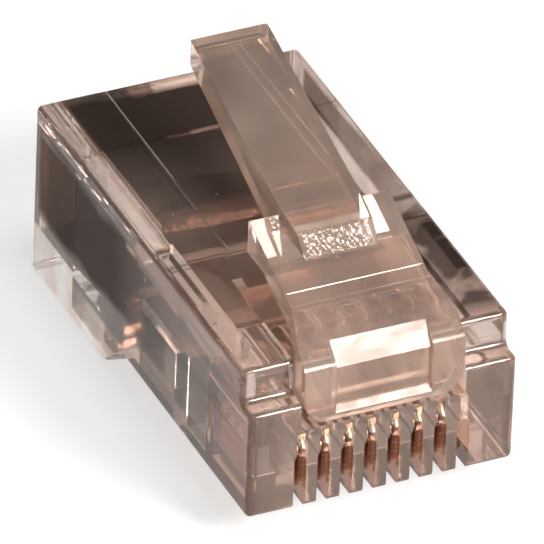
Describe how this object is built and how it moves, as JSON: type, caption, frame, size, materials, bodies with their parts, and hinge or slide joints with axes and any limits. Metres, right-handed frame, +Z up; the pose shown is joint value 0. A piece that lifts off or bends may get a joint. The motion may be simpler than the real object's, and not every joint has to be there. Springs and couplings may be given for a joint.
{
  "type": "rj45 modular plug",
  "caption": "Clear modular plug with a sprung latch, gold blade contacts in a slotted nose and press-up clamps that hold the cable jacket and its wires.",
  "frame": {"origin": "middle of the bottom of the plug's bounding box, on the foot's underside", "axes": "+Y from the nose towards the cable end, +Z up towards the latch, +X to the right seen from the nose looking back"},
  "size_m": [0.0116, 0.0214, 0.0137],
  "materials": {
    "clear_plastic": "moulded transparent polycarbonate with a warm smoky tint, polished",
    "clear_plastic_latch": "the same transparent polycarbonate, latch portion",
    "clear_plastic_clamps": "the same transparent polycarbonate, strain relief portions",
    "gold_contacts": "gold plated copper alloy blade"
  },
  "bodies": {
    "plug_body": {"housing": "clear_plastic"},
    "latch": {"latch_lever": "clear_plastic_latch"},
    "jacket_relief": {"jacket_clamp": "clear_plastic_clamps"},
    "conductor_relief": {"conductor_clamp": "clear_plastic_clamps"},
    "blade_1": {"contact_1": "gold_contacts"},
    "blade_2": {"contact_2": "gold_contacts"},
    "blade_3": {"contact_3": "gold_contacts"},
    "blade_4": {"contact_4": "gold_contacts"},
    "blade_5": {"contact_5": "gold_contacts"},
    "blade_6": {"contact_6": "gold_contacts"},
    "blade_7": {"contact_7": "gold_contacts"},
    "blade_8": {"contact_8": "gold_contacts"}
  },
  "joints": [
    {"name": "latch_hinge", "type": "hinge", "parent": "plug_body", "child": "latch", "pos_m": [0, -0.01013, 0.0059], "axis": [1, 0, 0], "range_deg": [-12, 0], "stiffness_Nm_per_rad": 0.12},
    {"name": "jacket_clamp_hinge", "type": "hinge", "parent": "plug_body", "child": "jacket_relief", "pos_m": [0, 0.00462, 0.002], "axis": [-1, 0, 0], "range_deg": [0, 14]},
    {"name": "conductor_clamp_hinge", "type": "hinge", "parent": "plug_body", "child": "conductor_relief", "pos_m": [0, -0.00423, 0.00452], "axis": [-1, 0, 0], "range_deg": [0, 10]},
    {"name": "contact_1_crimp", "type": "slide", "parent": "plug_body", "child": "blade_1", "axis": [0, 0, 1], "range_m": [0, 0.0006]},
    {"name": "contact_2_crimp", "type": "slide", "parent": "plug_body", "child": "blade_2", "axis": [0, 0, 1], "range_m": [0, 0.0006]},
    {"name": "contact_3_crimp", "type": "slide", "parent": "plug_body", "child": "blade_3", "axis": [0, 0, 1], "range_m": [0, 0.0006]},
    {"name": "contact_4_crimp", "type": "slide", "parent": "plug_body", "child": "blade_4", "axis": [0, 0, 1], "range_m": [0, 0.0006]},
    {"name": "contact_5_crimp", "type": "slide", "parent": "plug_body", "child": "blade_5", "axis": [0, 0, 1], "range_m": [0, 0.0006]},
    {"name": "contact_6_crimp", "type": "slide", "parent": "plug_body", "child": "blade_6", "axis": [0, 0, 1], "range_m": [0, 0.0006]},
    {"name": "contact_7_crimp", "type": "slide", "parent": "plug_body", "child": "blade_7", "axis": [0, 0, 1], "range_m": [0, 0.0006]},
    {"name": "contact_8_crimp", "type": "slide", "parent": "plug_body", "child": "blade_8", "axis": [0, 0, 1], "range_m": [0, 0.0006]}
  ]
}
